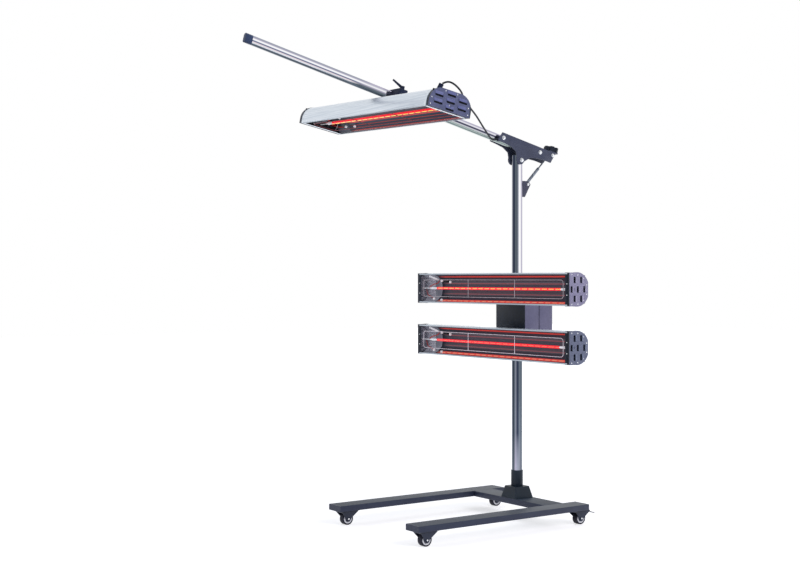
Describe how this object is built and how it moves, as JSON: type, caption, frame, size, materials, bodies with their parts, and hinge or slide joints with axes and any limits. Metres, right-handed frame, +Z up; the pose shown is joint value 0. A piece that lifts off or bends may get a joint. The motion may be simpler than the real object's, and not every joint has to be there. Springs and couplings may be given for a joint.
{
  "type": "infrared paint curing lamp",
  "caption": "Mobile infrared paint curing lamp with a tilting boom head, side lamp heads on a lifting carriage, a chrome column and a wheeled U-shaped base.",
  "frame": {"origin": "centre of the bounding box on the floor", "axes": "+Z up, +X along the lamp heads, and the boom, the legs and the lamp mouths point to -Y"},
  "size_m": [1.122, 1.7122, 2.1365],
  "materials": {
    "frame_slate": "satin powder coat",
    "chrome": "polished",
    "yoke_black": "satin black",
    "black_plastic": "moulded, fine grain",
    "tyre": "matt rubber",
    "cable_black": "matt sheath",
    "cover_navy": "semi-gloss paint",
    "switch_red": "gloss",
    "contactor_grey": "moulded",
    "housing_silver": "satin, drawn along its length",
    "cap_violet": "satin paint",
    "reflector_dark": "bright rolled sheet",
    "lamp_glow": "ruby quartz tube, lit",
    "guard_wire": "plated wire"
  },
  "bodies": {
    "base": {"leg_left": "frame_slate", "leg_right": "frame_slate", "crossbar": "frame_slate", "leg_end_plugs": "black_plastic", "column_boot": "frame_slate", "column_collar": "chrome", "column_tube": "chrome", "column_head": "chrome", "pivot_bolt": "chrome", "strut_lug": "yoke_black", "caster_plates": "yoke_black"},
    "boom": {"boom_bracket": "frame_slate", "boom_bolts": "chrome", "boom_tube": "chrome", "boom_end_caps": "black_plastic", "boom_cable": "cable_black"},
    "boom_head": {"boom_clamp": "black_plastic", "cable_gland": "black_plastic", "boom_head_housing": "housing_silver", "boom_head_end_caps": "cap_violet", "boom_head_reflector": "reflector_dark", "boom_head_lamp": "lamp_glow", "boom_head_guard": "guard_wire"},
    "clamp_lever": {"clamp_lever": "black_plastic"},
    "boom_lock_knob": {"boom_lock_knob": "black_plastic"},
    "strut_body": {"strut_cylinder": "yoke_black"},
    "strut_piston": {"strut_rod": "chrome"},
    "carriage": {"carriage_cover": "cover_navy", "control_box": "cover_navy", "guide_bushes": "black_plastic", "control_panel": "cover_navy", "power_inlet": "black_plastic", "contactor": "contactor_grey", "head_hinges": "yoke_black"},
    "carriage_lock": {"carriage_lock_knob": "black_plastic"},
    "upper_head": {"upper_head_housing": "housing_silver", "upper_head_end_caps": "cap_violet", "upper_head_reflector": "reflector_dark", "upper_head_lamp": "lamp_glow", "upper_head_guard": "guard_wire"},
    "lower_head": {"lower_head_housing": "housing_silver", "lower_head_end_caps": "cap_violet", "lower_head_reflector": "reflector_dark", "lower_head_lamp": "lamp_glow", "lower_head_guard": "guard_wire"},
    "timer_dial": {"timer_dial": "black_plastic"},
    "lamp_switch_1": {"lamp_switch_1": "switch_red"},
    "lamp_switch_2": {"lamp_switch_2": "switch_red"},
    "lamp_switch_3": {"lamp_switch_3": "switch_red"},
    "fork_front_left": {"caster_yoke_front_left": "yoke_black"},
    "wheel_front_left": {"caster_wheel_front_left": "tyre"},
    "fork_front_right": {"caster_yoke_front_right": "yoke_black"},
    "wheel_front_right": {"caster_wheel_front_right": "tyre"},
    "fork_rear_left": {"caster_yoke_rear_left": "yoke_black"},
    "wheel_rear_left": {"caster_wheel_rear_left": "tyre"},
    "fork_rear_right": {"caster_yoke_rear_right": "yoke_black"},
    "wheel_rear_right": {"caster_wheel_rear_right": "tyre"},
    "brake_rear_left": {"brake_pedal_rear_left": "black_plastic"},
    "brake_rear_right": {"brake_pedal_rear_right": "black_plastic"}
  },
  "joints": [
    {"name": "boom_tilt", "type": "hinge", "parent": "base", "child": "boom", "pos_m": [0, 0.6077, 1.6876], "axis": [-1, 0, 0], "range_deg": [-10, 25]},
    {"name": "strut_swing", "type": "hinge", "parent": "base", "child": "strut_body", "pos_m": [0, 0.6612, 1.577], "axis": [-1, 0, 0], "range_deg": [-9, 22]},
    {"name": "strut_stroke", "type": "slide", "parent": "strut_body", "child": "strut_piston", "axis": [0, 0.7039, 0.7103], "range_m": [-0.053, 0.022]},
    {"name": "boom_head_slide", "type": "slide", "parent": "boom", "child": "boom_head", "axis": [0, -0.9707, 0.2402], "range_m": [-0.4, 0.05], "deforming": ["boom_cable"]},
    {"name": "clamp_lever_turn", "type": "hinge", "parent": "boom_head", "child": "clamp_lever", "pos_m": [0.045, -0.09085, 1.95957], "axis": [0, 0.2402, 0.9707], "range_deg": [-60, 40]},
    {"name": "boom_lock_turn", "type": "hinge", "parent": "boom", "child": "boom_lock_knob", "pos_m": [0, 0.81611, 1.73646], "axis": [0, 0.2402, 0.9707], "continuous": true},
    {"name": "carriage_lift", "type": "slide", "parent": "base", "child": "carriage", "axis": [0, 0, 1], "range_m": [-0.5, 0.38]},
    {"name": "carriage_lock_turn", "type": "hinge", "parent": "carriage", "child": "carriage_lock", "pos_m": [-0.1058, 0.6077, 0.845], "axis": [-1, 0, 0], "continuous": true},
    {"name": "upper_head_tilt", "type": "hinge", "parent": "carriage", "child": "upper_head", "pos_m": [0, 0.5532, 1.082], "axis": [1, 0, 0], "range_deg": [-25, 25]},
    {"name": "lower_head_tilt", "type": "hinge", "parent": "carriage", "child": "lower_head", "pos_m": [0, 0.5532, 0.828], "axis": [1, 0, 0], "range_deg": [-25, 25]},
    {"name": "timer_turn", "type": "hinge", "parent": "carriage", "child": "timer_dial", "pos_m": [0, 0.736, 0.955], "axis": [0, 1, 0], "range_deg": [-300, 0]},
    {"name": "lamp_switch_1_rock", "type": "hinge", "parent": "carriage", "child": "lamp_switch_1", "pos_m": [-0.048, 0.7342, 1.025], "axis": [1, 0, 0], "range_deg": [-8, 8]},
    {"name": "lamp_switch_2_rock", "type": "hinge", "parent": "carriage", "child": "lamp_switch_2", "pos_m": [0, 0.7342, 1.025], "axis": [1, 0, 0], "range_deg": [-8, 8]},
    {"name": "lamp_switch_3_rock", "type": "hinge", "parent": "carriage", "child": "lamp_switch_3", "pos_m": [0.048, 0.7342, 1.025], "axis": [1, 0, 0], "range_deg": [-8, 8]},
    {"name": "swivel_front_left", "type": "hinge", "parent": "base", "child": "fork_front_left", "pos_m": [-0.303, -0.1423, 0.0652], "axis": [0, 0, 1], "continuous": true},
    {"name": "roll_front_left", "type": "hinge", "parent": "fork_front_left", "child": "wheel_front_left", "pos_m": [-0.303, -0.1583, 0.028], "axis": [1, 0, 0], "continuous": true},
    {"name": "swivel_front_right", "type": "hinge", "parent": "base", "child": "fork_front_right", "pos_m": [0.303, -0.1423, 0.0652], "axis": [0, 0, 1], "continuous": true},
    {"name": "roll_front_right", "type": "hinge", "parent": "fork_front_right", "child": "wheel_front_right", "pos_m": [0.303, -0.1583, 0.028], "axis": [1, 0, 0], "continuous": true},
    {"name": "swivel_rear_left", "type": "hinge", "parent": "base", "child": "fork_rear_left", "pos_m": [-0.303, 0.7067, 0.0652], "axis": [0, 0, 1], "continuous": true},
    {"name": "roll_rear_left", "type": "hinge", "parent": "fork_rear_left", "child": "wheel_rear_left", "pos_m": [-0.303, 0.7227, 0.028], "axis": [1, 0, 0], "continuous": true},
    {"name": "swivel_rear_right", "type": "hinge", "parent": "base", "child": "fork_rear_right", "pos_m": [0.303, 0.7067, 0.0652], "axis": [0, 0, 1], "continuous": true},
    {"name": "roll_rear_right", "type": "hinge", "parent": "fork_rear_right", "child": "wheel_rear_right", "pos_m": [0.303, 0.7227, 0.028], "axis": [1, 0, 0], "continuous": true},
    {"name": "brake_rear_left_press", "type": "hinge", "parent": "fork_rear_left", "child": "brake_rear_left", "pos_m": [-0.303, 0.7567, 0.052], "axis": [-1, 0, 0], "range_deg": [0, 5]},
    {"name": "brake_rear_right_press", "type": "hinge", "parent": "fork_rear_right", "child": "brake_rear_right", "pos_m": [0.303, 0.7567, 0.052], "axis": [-1, 0, 0], "range_deg": [0, 5]}
  ],
  "couplings": [
    {"joint": "strut_swing", "follows": "boom_tilt", "ratio": 0.85},
    {"joint": "strut_stroke", "follows": "boom_tilt", "m_per_rad": -0.118}
  ]
}
